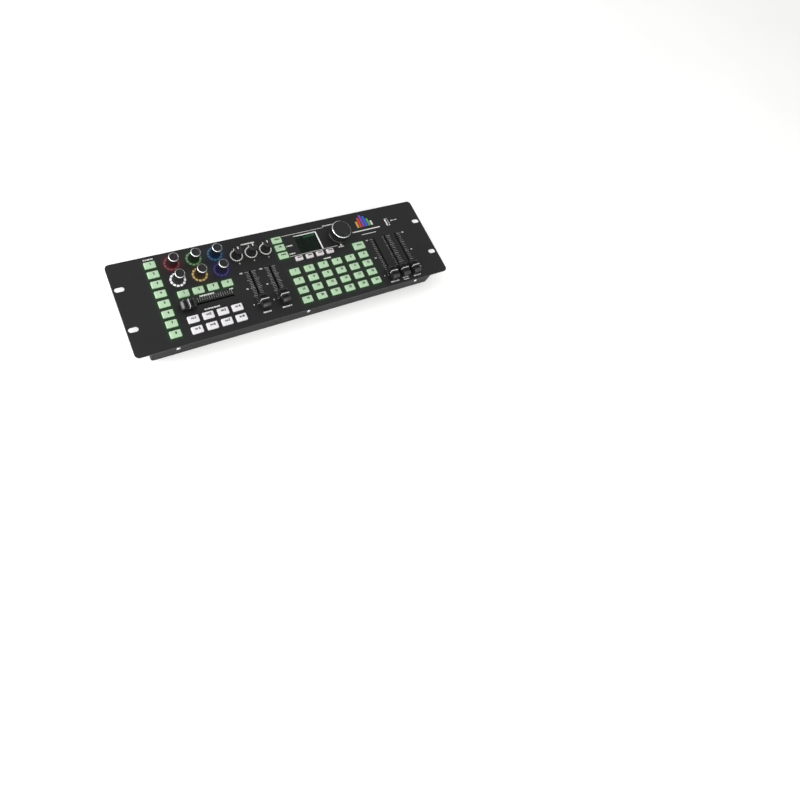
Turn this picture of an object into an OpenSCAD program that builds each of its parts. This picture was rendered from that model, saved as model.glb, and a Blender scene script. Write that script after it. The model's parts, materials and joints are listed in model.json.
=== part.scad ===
// Lighting control desk: a 19-inch, 3U panel with keys, knobs and faders over a shallow steel case.
// +X runs to the operator's right, +Y to the rear, +Z up. The origin is on the floor under the centre.

/* [Panel] */
// Width of the rack panel across both ears
panel_w = 482.6; // [480:0.1:484]
// Depth of the rack panel, front edge to rear edge
panel_d = 132.5; // [131:0.1:133.4]
// Thickness of the panel sheet
panel_t = 2; // [1.5:0.1:2.5]
// Radius of the panel's corners
panel_corner_r = 6; // [2:0.5:8]

/* [Rack slots] */
// Distance between the left and right slots
slot_pitch_x = 465.1; // [464:0.1:466]
// Distance between the front and rear slots
slot_pitch_y = 57.15; // [56:0.05:58]
// Width of a slot
slot_w = 6.8; // [6:0.1:7.4]
// Length of a slot, end to end
slot_length = 12.5; // [9:0.5:13]

/* [Case] */
// Width of the case under the panel
case_w = 435; // [434:1:446]
// Depth of the case under the panel
case_d = 126; // [125:0.5:128]
// Height of the case, floor plate to the panel's underside
case_h = 29; // [29:0.5:45]
// Thickness of the case sheet
case_t = 1.2; // [1:0.1:1.5]
// Radius of the case's upright corners
case_corner_r = 3; // [2:0.5:4]
// Height of the rubber feet
foot_h = 3; // [2:0.5:6]
// Radius of the rubber feet
foot_r = 7; // [5:0.5:9]

/* [Keys] */
// Width of a standard key
key_w = 14.6; // [14:0.1:15.6]
// Depth of a standard key
key_d = 9.6; // [9:0.1:10.6]
// Width of a key under the display
soft_key_w = 11.4; // [10:0.1:12.4]
// Depth of a key under the display
soft_key_d = 7; // [7:0.1:8.5]
// Width of the large key
store_key_w = 18.5; // [16:0.1:20]
// Depth of the large key
store_key_d = 11.6; // [10:0.1:13]
// How far a key stands above the panel
key_rise = 2.6; // [2:0.1:4]
// How far a key goes down
key_travel = 1.2; // [0.6:0.1:1.4]
// Gap between a key and the edge of its opening
key_gap = 0.35; // [0.3:0.05:0.5]

/* [Knobs] */
// Radius of a colour knob
colour_knob_r = 6.9; // [6:0.1:7]
// Height of a colour knob above the panel
colour_knob_h = 18; // [14:0.5:22]
// Radius of the lit collar round a colour knob
collar_r = 10.45; // [10:0.05:10.6]
// How far a collar stands above the panel
collar_rise = 1; // [0.5:0.1:1.5]
// Radius of a rate knob at its foot
rate_knob_r = 5.9; // [5.4:0.1:6.5]
// Height of a rate knob above the panel
rate_knob_h = 15; // [12:0.5:18]
// Radius of the select knob's skirt
select_knob_r = 15.6; // [14:0.1:16]
// Height of the select knob above the panel
select_knob_h = 17; // [14:0.5:20]
// Radius of every knob's shaft
shaft_r = 3; // [2.8:0.05:3.1]

/* [Faders] */
// Travel of the three right faders and the lying fader
long_travel = 63; // [50:0.5:63]
// Travel of the two left faders
short_travel = 49; // [40:0.5:49]
// Length of a fader cap along its travel
cap_l = 20.5; // [18:0.5:22]
// Width of a fader cap
cap_w = 11.2; // [9:0.1:12]
// Height of a fader cap's top above the panel
cap_top = 12; // [10:0.5:14]

/* [Display] */
// Width of the display's cut-out
window_w = 39.3; // [36:0.1:41]
// Depth of the display's cut-out
window_d = 31.9; // [30:0.1:31.9]
// How deep the display lies under the panel's face
window_depth = 3.7; // [3:0.1:4]

/* [Hidden] */
$fn = 48;
cut = 0.5;                                  // how far a cutting solid runs past a face

case_floor = foot_h;
panel_under = case_floor + case_h;
panel_top = panel_under + panel_t;
board_gap = 10;                             // panel underside to the top of the circuit board
board_top = panel_under - board_gap;
board_t = 1.6;
board_size = [410, 118];
board_notch = [67, 22];                     // cut-away round the sockets: width and depth
rear_y = case_d/2;

// Keys: first key of each block, and the pitch between keys
fixture_first = [-187, 52.2];
fixture_pitch = 14.5;
group_first = [-159.3, 1.3];
group_pitch = 20.1;
effect_rows_y = [-36.3, -51.5];
preset_first = [-0.4, -6.7];
preset_pitch = [23, 15];
menu_first = [-6.2, 47.6];
menu_pitch = 12.9;
soft_first = [14.8, 12.1];
soft_pitch = 17;
store_at = [114.5, 9.1];

fixture_at = [for (i = [0:7]) fixture_first - [0, i*fixture_pitch]];
group_at = [for (i = [0:3]) group_first + [i*group_pitch, 0]];
effect_at = [for (y = effect_rows_y) [for (p = group_at) [p.x, y]]];
preset_at = [for (r = [0:3]) [for (c = [0:5]) preset_first + [c*preset_pitch.x, -r*preset_pitch.y]]];
menu_at = [for (i = [0:2]) menu_first - [0, i*menu_pitch]];
soft_at = [for (i = [0:3]) soft_first + [i*soft_pitch, 0]];
standard_keys_at = concat(fixture_at, group_at, effect_at[0], effect_at[1],
                          preset_at[0], preset_at[1], preset_at[2], preset_at[3], menu_at);
all_keys_at = concat(standard_keys_at, soft_at, [store_at]);

key_corner_r = 1;
lip_out = 0.7;                              // how far a key's retaining lip reaches past its cap
lip_t = 1.1;
lip_drop = 0.4;                             // clearance between the lip and the panel
stem_r = 1.62;
stem_bore_r = 1.7;
switch_size = 6;
switch_h = 3.4;
stem_rest = 1.4;                            // foot of a pressed key's stem above the board
stem_end = board_top + stem_rest + key_travel;

// Knobs: three columns and two rows of colour knobs, three rate knobs, one select knob
colour_columns_x = [-159.3, -129.3, -99.3];
colour_rows_y = [48.1, 23.2];
colour_at = [for (y = colour_rows_y) for (x = colour_columns_x) [x, y]];
rate_at = [[-71, 38.8], [-49, 38.8], [-27, 38.8]];
select_at = [91, 34.6];

collar_gap = 0.15;
collar_well_r = 7.6;                        // well in the collar's top, round the knob
collar_well_floor = panel_top - 0.8;
collar_hollow_r = 9.4;                      // room for the encoder inside the collar
bushing_r = 3.5;
bushing_gap = 0.2;
shaft_gap = 0.05;                           // running fit of every shaft in its bushing
shaft_end = board_top + 3;
encoder_size = 12;
encoder_h = 6;
pot_size = 11;
pot_h = 7;
colour_bushing = 0.6;                       // tops of the bushings above the panel
rate_bushing = 1.6;
select_bushing = 2.6;

// Faders: where each cap rests, at the low end of its travel
lying_rest = [-160, -17.2];
left_rest = [[-62.2, -38.6], [-32.2, -38.6]];
right_rest = [[145, -48.3], [165, -48.3], [185, -48.3]];
lever_l = 3;
lever_t = 1.4;
lever_gap = 0.5;
lever_foot = board_top + 3.5;
track_w = 9;
track_h = 8.5;
track_end = 6;                              // solid end of a fader's body past its travel
cap_clear = 1.2;                            // gap under a fader cap

window_at = [40.15, 34.25];
display_w = 49;
display_y = [17.4, 53.4];                   // front and rear faces of the display module
lining_t = 0.6;
lining_gap = 0.2;
cover_t = 0.8;

usb_at = [182, 38.1];
usb_shell = [5.8, 13.2];
usb_wall = 0.35;
usb_gap = 0.3;
usb_tongue = [1.84, 11];
usb_tongue_off = 1.2;                       // the tongue stands to one side of the mouth

// Rear wall: places along X and heights
dmx_x = [112, 150];
dmx_z = 17.5;
dmx_flange = [31, 26];
dmx_flange_r = 3;
dmx_flange_t = 1.6;
dmx_barrel_r = 11.6;
dmx_barrel_l = 22;
dmx_groove = [7.9, 9.6];                    // inner and outer radius of the round groove for the plug
dmx_groove_deep = 13;
dmx_contact = [4.4, 1.3, 12];               // the contact holes: place, radius and depth
dmx_screw = [12, 9.5];                      // screw centre from the socket's centre
low_z = 11.5;                               // height of the switch and the power inlet
switch_x = -60;
inlet_x = -30;
inlet_body = [10, 11, 14];
inlet_collar_r = 4.2;
inlet_bore_r = 3.15;
inlet_deep = 9.5;
inlet_pin_r = 1.05;
switch_bezel = [21, 15, 1.2];
switch_barrel = [19, 12.6, 15.5];
switch_hole = [19.4, 13];
rocker_window = [16.6, 10.4];
rocker_pivot_in = 2.4;                      // pivot's depth behind the rear face
rocker_tilt = 7.5;
rocker_pin_r = 1.2;
rocker_pin_gap = 0.1;                       // running fit of the pins in the switch body
rocker_pin_l = 0.8;                         // how far a pin stands out of the rocker's side

screw_r = 1.45;
case_screw_l = 3.6;
socket_screw_l = 5;
case_screw_x = [-186, 0, 186];
case_screw_z = panel_top - 12.2;
bracket_w = 16;
bracket_h = 15;
bracket_t = 1.4;
spacer_at = [[-173.5, 57], [-173.5, -57], [-84.5, 57], [-84.5, -57], [-16.5, 57],
             [-16.5, -57], [131, 28], [131, -57], [200, 50], [200, -57]];
foot_at = [for (x = [-195, 195]) for (y = [-48, 48]) [x, y]];

function numbered(stem, n) = [for (i = [1:n]) str(stem, "_", i)];
fixture_names = numbered("fixture_key", 8);
group_names = numbered("group_key", 4);
menu_names = numbered("menu_key", 3);
soft_names = numbered("soft_key", 4);
effect_names = ["effect_keys_rear_row", "effect_keys_front_row"];
preset_names = numbered("preset_keys_row", 4);
colour_words = ["red", "green", "blue", "white", "amber", "violet"];
colour_names = [for (w = colour_words) str(w, "_knob")];
rate_names = numbered("rate_knob", 3);
left_names = numbered("left_fader_cap", 2);
right_names = numbered("right_fader_cap", 3);

// ---- shapes that repeat ----

module at(p, z = 0) {
  translate([p.x, p.y, z]) children();
}

// A rectangle centred on the origin, with round corners
module rounded_plate(size, r, h) {
  linear_extrude(h) {
    square([size.x - 2*r, size.y], center = true);
    square([size.x, size.y - 2*r], center = true);
    for (x = [-1, 1], y = [-1, 1])
      translate([x*(size.x/2 - r), y*(size.y/2 - r)]) circle(r);
  }
}

// A block centred on X and Y, standing on its base
module block(size) {
  translate([-size.x/2, -size.y/2, 0]) cube(size);
}

// A slot with round ends, along X
module slot_cut(length, width, h) {
  linear_extrude(h) {
    square([length - width, width], center = true);
    for (x = [-1, 1]) translate([x*(length - width)/2, 0]) circle(width/2);
  }
}

// Places its children on the rear wall, with their +Z pointing out of it
module on_rear(x, z) {
  translate([x, rear_y, z]) rotate([-90, 0, 0]) children();
}

// A key: cap, retaining lip and the stem that works its switch
module key(w, d) {
  lip_top = panel_under - lip_drop;
  translate([0, 0, lip_top]) rounded_plate([w, d], key_corner_r, panel_top + key_rise - lip_top);
  translate([0, 0, lip_top - lip_t]) rounded_plate([w + 2*lip_out, d + 2*lip_out], key_corner_r, lip_t);
  translate([0, 0, stem_end]) cylinder(h = lip_top - stem_end, r = stem_r);
}

module standard_key() {
  key(key_w, key_d);
}

module key_row(places) {
  for (p = places) at(p) standard_key();
}

// The opening in the panel for a key
module key_opening(w, d) {
  translate([0, 0, panel_under - cut])
    rounded_plate([w + 2*key_gap, d + 2*key_gap], key_corner_r + key_gap, panel_t + 2*cut);
}

// A knob on its shaft: solid of revolution from foot to top, hollow over the bushing
module knob(foot_r, top_r, foot_z, height, hollow_r, hollow_h) {
  difference() {
    translate([0, 0, foot_z]) cylinder(h = panel_top + height - foot_z, r1 = foot_r, r2 = top_r);
    translate([0, 0, foot_z - cut]) cylinder(h = hollow_h + cut, r = hollow_r);
  }
  translate([0, 0, shaft_end]) cylinder(h = foot_z + hollow_h + 1 - shaft_end, r = shaft_r);
}

// Body of an encoder or potentiometer, with a bushing that guides the shaft
module rotary_body(size, h, bushing_top) {
  difference() {
    union() {
      translate([0, 0, board_top]) block([size, size, h]);
      translate([0, 0, board_top + h - cut]) cylinder(h = bushing_top - board_top - h + cut, r = bushing_r);
    }
    translate([0, 0, shaft_end - 1]) cylinder(h = panel_top + 20, r = shaft_r + shaft_gap);
  }
}

// A fader cap along Y: two finger scoops either side of a raised middle line, on a flat lever
module fader_cap() {
  half = cap_l/2;
  tall = cap_top - cap_clear;
  profile = [
    [-half, 0], [half, 0], [half - 0.9, tall - 1.6], [half - 1.8, tall - 0.6], [half - 3.2, tall - 0.8],
    [3.6, tall - 2.1], [1.2, tall - 0.9], [0.7, tall], [-0.7, tall], [-1.2, tall - 0.9],
    [-3.6, tall - 2.1], [3.2 - half, tall - 0.8], [1.8 - half, tall - 0.6], [0.9 - half, tall - 1.6]];
  translate([cap_w/2, 0, panel_top + cap_clear])
    rotate([90, 0, -90]) linear_extrude(cap_w) polygon(profile);
  translate([0, 0, lever_foot]) block([lever_t, lever_l, panel_top + cap_clear + 2 - lever_foot]);
}

// The fader's body under the panel, its open channel running from the rest place along +Y
module fader_track(travel) {
  channel = travel + lever_l + 2*lever_gap;
  difference() {
    translate([0, travel/2, board_top]) block([track_w, travel + 2*track_end, track_h]);
    translate([0, travel/2, lever_foot - 1]) block([lever_t + 2*lever_gap, channel, track_h]);
  }
}

module fader_opening(travel) {
  length = travel + lever_l + 2*lever_gap;
  translate([0, travel/2, panel_under - cut]) rotate([0, 0, 90])
    slot_cut(length, lever_t + 2*lever_gap, panel_t + 2*cut);
}

module lying() {
  translate([lying_rest.x, lying_rest.y, 0]) rotate([0, 0, -90]) children();
}

// An M3 pan-head screw, its head's seat on Z = 0 and its shank downwards
module screw(length) {
  head_r = 2.75;
  head_h = 1.6;
  recess = 0.55;
  difference() {
    union() {
      cylinder(h = head_h*0.5, r = head_r);
      translate([0, 0, head_h*0.5]) cylinder(h = head_h*0.5, r1 = head_r, r2 = head_r*0.7);
    }
    for (a = [0, 90])
      rotate([0, 0, a]) translate([0, 0, head_h - 0.8]) block([head_r*1.2, recess, 1]);
  }
  translate([0, 0, -length]) cylinder(h = length + 0.1, r = screw_r);
}

// ---- fixed sub-parts ----

module front_panel() {
  color([0.13, 0.13, 0.14])
  difference() {
    translate([0, 0, panel_under]) rounded_plate([panel_w, panel_d], panel_corner_r, panel_t);
    for (x = [-1, 1], y = [-1, 1])
      at([x*slot_pitch_x/2, y*slot_pitch_y/2], panel_under - cut)
        slot_cut(slot_length, slot_w, panel_t + 2*cut);
    for (p = standard_keys_at) at(p) key_opening(key_w, key_d);
    for (p = soft_at) at(p) key_opening(soft_key_w, soft_key_d);
    at(store_at) key_opening(store_key_w, store_key_d);
    for (p = colour_at) at(p, panel_under - cut) cylinder(h = panel_t + 2*cut, r = collar_r + collar_gap);
    for (p = concat(rate_at, [select_at]))
      at(p, panel_under - cut) cylinder(h = panel_t + 2*cut, r = bushing_r + bushing_gap);
    for (p = left_rest) at(p) fader_opening(short_travel);
    for (p = right_rest) at(p) fader_opening(long_travel);
    lying() fader_opening(long_travel);
    at(window_at, panel_under - cut) block([window_w, window_d, panel_t + 2*cut]);
    at(usb_at, panel_under - cut) block([usb_shell.x + 2*usb_gap, usb_shell.y + 2*usb_gap, panel_t + 2*cut]);
  }
}

// Six angle brackets under the panel that the case screws bite into
module panel_brackets() {
  leg = 3;
  inner = rear_y - case_t - 0.1;
  color([0.6, 0.6, 0.62])
  for (side = [0, 1], x = case_screw_x)
    mirror([0, side, 0])
    difference() {
      translate([x, inner - leg/2, panel_under - bracket_h]) {
        translate([0, (leg - bracket_t)/2, 0]) block([bracket_w, bracket_t, bracket_h]);
        translate([0, 0, bracket_h - bracket_t]) block([bracket_w, leg, bracket_t]);
      }
      translate([x, inner + cut, case_screw_z]) rotate([90, 0, 0])
        cylinder(h = bracket_t + 2*cut, r = screw_r + 0.05);
    }
}

module case_tray() {
  color([0.16, 0.16, 0.17])
  difference() {
    translate([0, 0, case_floor]) rounded_plate([case_w, case_d], case_corner_r, case_h);
    translate([0, 0, case_floor + case_t])
      rounded_plate([case_w - 2*case_t, case_d - 2*case_t], case_corner_r - case_t, case_h);
    for (side = [0, 1], x = case_screw_x)
      mirror([0, side, 0]) on_rear(x, case_screw_z)
        translate([0, 0, -case_t - cut]) cylinder(h = case_t + 2*cut, r = screw_r + 0.15);
    for (x = dmx_x) on_rear(x, dmx_z) translate([0, 0, -case_t - cut]) {
      cylinder(h = case_t + 2*cut, r = dmx_barrel_r + 0.3);
      for (s = [-1, 1]) translate([s*dmx_screw.x, s*dmx_screw.y, 0])
        cylinder(h = case_t + 2*cut, r = screw_r + 0.05);
    }
    on_rear(inlet_x, low_z) translate([0, 0, -case_t - cut]) cylinder(h = case_t + 2*cut, r = inlet_collar_r + 0.2);
    on_rear(switch_x, low_z) translate([0, 0, -case_t - cut]) block([switch_hole.x, switch_hole.y, case_t + 2*cut]);
  }
}

module rubber_feet() {
  color([0.1, 0.1, 0.1])
  for (p = foot_at) at(p) {
    cylinder(h = 0.6, r1 = foot_r - 0.6, r2 = foot_r);
    translate([0, 0, 0.6]) cylinder(h = foot_h - 0.6, r = foot_r);
  }
}

// Six screws hold the case to the brackets, two more hold each socket
module case_screws() {
  color([0.75, 0.75, 0.77]) {
    for (side = [0, 1], x = case_screw_x)
      mirror([0, side, 0]) on_rear(x, case_screw_z) screw(case_screw_l);
    for (x = dmx_x, s = [-1, 1])
      on_rear(x + s*dmx_screw.x, dmx_z - s*dmx_screw.y) translate([0, 0, dmx_flange_t]) screw(socket_screw_l);
  }
}

module main_board() {
  color([0.1, 0.35, 0.2])
  difference() {
    translate([0, 0, board_top - board_t]) block([board_size.x, board_size.y, board_t]);
    translate([(dmx_x[0] + dmx_x[1])/2, board_size.y/2, board_top - board_t - cut])
      block([board_notch.x, 2*board_notch.y, board_t + 2*cut]);
    for (p = spacer_at) at(p, board_top - board_t - cut) cylinder(h = board_t + 2*cut, r = screw_r + 0.05);
  }
}

// Hexagonal posts between the panel and the board, each with a screw end through the board
module board_spacers() {
  post_r = 2.7;
  nut_h = 2;
  color([0.8, 0.72, 0.4])
  for (p = spacer_at) at(p) {
    translate([0, 0, board_top]) cylinder(h = board_gap, r = post_r, $fn = 6);
    translate([0, 0, board_top - board_t - nut_h]) cylinder(h = board_t + nut_h + cut, r = screw_r);
    translate([0, 0, board_top - board_t - nut_h]) cylinder(h = nut_h, r = post_r, $fn = 6);
  }
}

// Display on its carrier, with a pale lining that rises inside the panel's cut-out
module display_module() {
  face = panel_top - window_depth - cover_t;
  lining = [window_w - 2*lining_gap, window_d - 2*lining_gap];
  color([0.86, 0.87, 0.85]) {
    translate([window_at.x - display_w/2, display_y[0], board_top])
      cube([display_w, display_y[1] - display_y[0], face - board_top]);
    difference() {
      at(window_at, face - cut) block([lining.x, lining.y, panel_top - 0.2 - face + cut]);
      at(window_at, face) block([lining.x - 2*lining_t, lining.y - 2*lining_t, panel_t + 5]);
    }
  }
}

module display_cover() {
  inside = 2*(lining_gap + lining_t + 0.1);
  color([0.05, 0.08, 0.07])
  at(window_at, panel_top - window_depth - cover_t) block([window_w - inside, window_d - inside, cover_t]);
}

module light_collars() {
  color([0.9, 0.9, 0.88])
  for (p = colour_at) at(p)
    difference() {
      translate([0, 0, board_top]) cylinder(h = panel_top + collar_rise - board_top, r = collar_r);
      translate([0, 0, board_top - cut]) cylinder(h = board_gap - 1 + cut, r = collar_hollow_r);
      translate([0, 0, collar_well_floor]) cylinder(h = 5, r = collar_well_r);
      translate([0, 0, board_top]) cylinder(h = board_gap + 5, r = bushing_r + bushing_gap);
    }
}

// Seven rotary encoders and three potentiometers
module rotary_bodies() {
  color([0.55, 0.56, 0.58]) {
    for (p = colour_at) at(p) rotary_body(encoder_size, encoder_h, panel_top + colour_bushing);
    at(select_at) rotary_body(encoder_size, encoder_h, panel_top + select_bushing);
    for (p = rate_at) at(p) rotary_body(pot_size, pot_h, panel_top + rate_bushing);
  }
}

module fader_tracks() {
  color([0.5, 0.51, 0.53]) {
    for (p = left_rest) at(p) fader_track(short_travel);
    for (p = right_rest) at(p) fader_track(long_travel);
    lying() fader_track(long_travel);
  }
}

module key_switches() {
  color([0.2, 0.2, 0.22])
  for (p = all_keys_at) at(p)
    difference() {
      translate([0, 0, board_top]) block([switch_size, switch_size, switch_h]);
      translate([0, 0, board_top + 0.8]) cylinder(h = switch_h, r = stem_bore_r);
    }
}

// Upright type A socket, its mouth level with the panel
module usb_socket() {
  mouth = [usb_shell.x - 2*usb_wall, usb_shell.y - 2*usb_wall];
  base = board_top + 1.5;
  color([0.78, 0.78, 0.8])
  at(usb_at) {
    difference() {
      translate([0, 0, board_top]) block([usb_shell.x, usb_shell.y, panel_top + 0.2 - board_top]);
      translate([0, 0, base]) block([mouth.x, mouth.y, 20]);
    }
    translate([-usb_tongue_off, 0, base - cut])
      block([usb_tongue.x, usb_tongue.y, panel_top - 0.6 - base + cut]);
  }
}

// Three-contact round sockets on oblong flanges
module dmx_sockets() {
  color([0.2, 0.2, 0.21])
  for (x = dmx_x) on_rear(x, dmx_z)
    difference() {
      union() {
        rounded_plate(dmx_flange, dmx_flange_r, dmx_flange_t);
        translate([0, 0, -dmx_barrel_l]) cylinder(h = dmx_barrel_l + dmx_flange_t, r = dmx_barrel_r);
      }
      translate([0, 0, -dmx_groove_deep]) difference() {
        cylinder(h = dmx_groove_deep + 5, r = dmx_groove[1]);
        translate([0, 0, -cut]) cylinder(h = dmx_groove_deep + cut + 0.8, r = dmx_groove[0]);
      }
      for (a = [-90, 30, 150])
        rotate([0, 0, a]) translate([dmx_contact[0], 0, -dmx_contact[2]])
          cylinder(h = dmx_contact[2] + 5, r = dmx_contact[1]);
      for (s = [-1, 1])
        translate([s*dmx_screw.x, s*dmx_screw.y, -cut])
          cylinder(h = dmx_flange_t + 2*cut, r = screw_r + 0.15);
    }
}

module power_inlet() {
  color([0.12, 0.12, 0.13])
  on_rear(inlet_x, low_z) {
    difference() {
      union() {
        translate([0, 0, -case_t - inlet_body.z]) block(inlet_body);
        translate([0, 0, -case_t - 1]) cylinder(h = case_t + 2, r = inlet_collar_r);
      }
      translate([0, 0, -inlet_deep]) cylinder(h = inlet_deep + 5, r = inlet_bore_r);
    }
    translate([0, 0, -inlet_deep - cut]) cylinder(h = inlet_deep, r = inlet_pin_r);
  }
}

module switch_body() {
  color([0.12, 0.12, 0.13])
  on_rear(switch_x, low_z)
    difference() {
      union() {
        block(switch_bezel);
        translate([0, 0, cut - switch_barrel.z]) block(switch_barrel);
      }
      translate([0, 0, -rocker_pivot_in - 4.6]) block([rocker_window.x, rocker_window.y, 20]);
      translate([0, 0, -rocker_pivot_in]) rotate([90, 0, 0])
        cylinder(h = rocker_window.y + 2*rocker_pin_l, r = rocker_pin_r + rocker_pin_gap, center = true);
    }
}

// ---- moving sub-parts ----

// The rocker turns on two pins parallel to Z, and rests with one side pressed in
module power_rocker() {
  half = 7.6;
  profile = [[-half, -3], [half, -3], [half, 4.2], [0, 3.2], [-half, 4.2]];
  rocker_h = rocker_window.y - 0.6;
  color([0.15, 0.15, 0.16])
  translate([switch_x, rear_y - rocker_pivot_in, low_z]) {
    translate([0, 0, -rocker_h/2]) rotate([0, 0, -rocker_tilt]) linear_extrude(rocker_h) polygon(profile);
    cylinder(h = rocker_h + 2*rocker_pin_l, r = rocker_pin_r, center = true);
  }
}

// Large knob with a skirt at its foot and a finger dimple in its top
module select_knob() {
  body_r = select_knob_r - 0.6;
  foot_z = panel_top + 0.6;
  skirt_h = 3;
  dimple_r = 5.4;
  dimple_at = [0, -8.6, panel_top + select_knob_h + 3.4];
  color([0.09, 0.09, 0.1])
  at(select_at)
    difference() {
      union() {
        knob(body_r, body_r - 0.2, foot_z, select_knob_h, 5, 4);
        difference() {
          translate([0, 0, foot_z]) cylinder(h = skirt_h, r = select_knob_r);
          translate([0, 0, foot_z - cut]) cylinder(h = skirt_h + 2*cut, r = body_r - 1);
        }
      }
      translate(dimple_at) sphere(r = dimple_r);
    }
}

module colour_knob(i) {
  color([0.09, 0.09, 0.1])
  at(colour_at[i]) knob(colour_knob_r, colour_knob_r - 0.15, panel_top - 0.2, colour_knob_h, 4, 2.4);
}

module rate_knob(i) {
  color([0.09, 0.09, 0.1])
  at(rate_at[i])
    difference() {
      knob(rate_knob_r, rate_knob_r - 0.6, panel_top + 0.5, rate_knob_h, 4.2, 2.4);
      translate([0, rate_knob_r - 0.6, panel_top + rate_knob_h - 0.6]) block([0.9, 6, 2]);
    }
}

module pale_green() {
  color([0.74, 0.9, 0.72]) children();
}

module pale_white() {
  color([0.93, 0.93, 0.92]) children();
}

module cap_colour() {
  color([0.11, 0.11, 0.12]) children();
}

module store_key() {
  pale_green() at(store_at) key(store_key_w, store_key_d);
}

// ---- one line for each node ----

front_panel();
panel_brackets();
case_tray();
rubber_feet();
case_screws();
main_board();
board_spacers();
display_module();
display_cover();
light_collars();
rotary_bodies();
fader_tracks();
key_switches();
usb_socket();
dmx_sockets();
power_inlet();
switch_body();
power_rocker();
select_knob();
store_key();
cap_colour() lying() fader_cap();  // lying_fader_cap

for (i = [0:7]) pale_green() at(fixture_at[i]) standard_key();
for (i = [0:3]) pale_green() at(group_at[i]) standard_key();
for (i = [0:2]) pale_green() at(menu_at[i]) standard_key();
for (i = [0:3]) pale_white() at(soft_at[i]) key(soft_key_w, soft_key_d);
for (i = [0:1]) pale_white() key_row(effect_at[i]);
for (i = [0:3]) pale_green() key_row(preset_at[i]);
for (i = [0:5]) colour_knob(i);
for (i = [0:2]) rate_knob(i);
for (i = [0:1]) cap_colour() at(left_rest[i]) fader_cap();
for (i = [0:2]) cap_colour() at(right_rest[i]) fader_cap();
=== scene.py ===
import math

import bmesh
import bpy
from mathutils import Matrix, Vector
from mathutils.geometry import delaunay_2d_cdt
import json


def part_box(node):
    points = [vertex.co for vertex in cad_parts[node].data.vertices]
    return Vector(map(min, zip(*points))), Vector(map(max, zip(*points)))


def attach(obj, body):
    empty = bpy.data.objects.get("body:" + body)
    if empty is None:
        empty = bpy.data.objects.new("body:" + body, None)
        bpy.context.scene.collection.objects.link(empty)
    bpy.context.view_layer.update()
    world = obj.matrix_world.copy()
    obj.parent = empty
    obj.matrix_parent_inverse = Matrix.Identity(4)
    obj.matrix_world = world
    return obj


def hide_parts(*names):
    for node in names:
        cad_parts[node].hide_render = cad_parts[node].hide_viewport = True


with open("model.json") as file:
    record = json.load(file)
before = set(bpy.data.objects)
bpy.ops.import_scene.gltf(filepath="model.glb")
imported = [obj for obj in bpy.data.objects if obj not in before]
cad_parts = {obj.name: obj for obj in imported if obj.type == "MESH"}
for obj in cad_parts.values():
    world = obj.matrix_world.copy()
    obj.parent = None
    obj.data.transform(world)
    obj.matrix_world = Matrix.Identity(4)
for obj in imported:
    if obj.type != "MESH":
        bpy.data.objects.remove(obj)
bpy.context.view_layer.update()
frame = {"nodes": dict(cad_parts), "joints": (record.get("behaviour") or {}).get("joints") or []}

MM = 0.001


class Field:
    """A value that changes over a surface. Python's own signs put the Math nodes behind it."""

    def __init__(self, tree, socket):
        self.tree = tree
        self.socket = socket

    def worked(self, operation, *items):
        node = self.tree.nodes.new("ShaderNodeMath")
        node.operation = operation
        for slot, item in zip(node.inputs, items):
            join(self.tree, slot, item)
        return Field(self.tree, node.outputs[0])

    def __add__(self, other):
        return self.worked("ADD", self, other)

    def __sub__(self, other):
        return self.worked("SUBTRACT", self, other)

    def __rsub__(self, other):
        return self.worked("SUBTRACT", other, self)

    def __mul__(self, other):
        return self.worked("MULTIPLY", self, other)

    def __truediv__(self, other):
        return self.worked("DIVIDE", self, other)

    def __rtruediv__(self, other):
        return self.worked("DIVIDE", other, self)

    def __pow__(self, other):
        return self.worked("POWER", self, other)

    def __rpow__(self, other):
        return self.worked("POWER", other, self)

    def __abs__(self):
        return self.worked("ABSOLUTE", self)

    def at_least(self, other):
        return self.worked("MAXIMUM", self, other)

    def at_most(self, other):
        return self.worked("MINIMUM", self, other)

    def rounded(self):
        return self.worked("ROUND", self)

    __radd__ = __add__
    __rmul__ = __mul__


def join(tree, slot, item):
    """A socket gets a link from a field, or a plain value."""
    if isinstance(item, Field):
        tree.links.new(item.socket, slot)
    else:
        slot.default_value = item


class Bench:
    """Makes nodes in one tree: a node's type, its settings, then its sockets by name or number."""

    def node(self, kind, settings=None, sockets=None, output=0):
        made = self.tree.nodes.new(kind)
        for key, value in (settings or {}).items():
            setattr(made, key, value)
        for key, value in (sockets or {}).items():
            join(self.tree, made.inputs[key], value)
        return Field(self.tree, made.outputs[output])


def paint(code):
    """A linear colour from a paint code of six hex digits."""
    parts = [int(code[i:i + 2], 16) / 255 for i in (0, 2, 4)]
    return tuple(c / 12.92 if c <= 0.04045 else ((c + 0.055) / 1.055) ** 2.4 for c in parts) + (1.0,)


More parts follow.
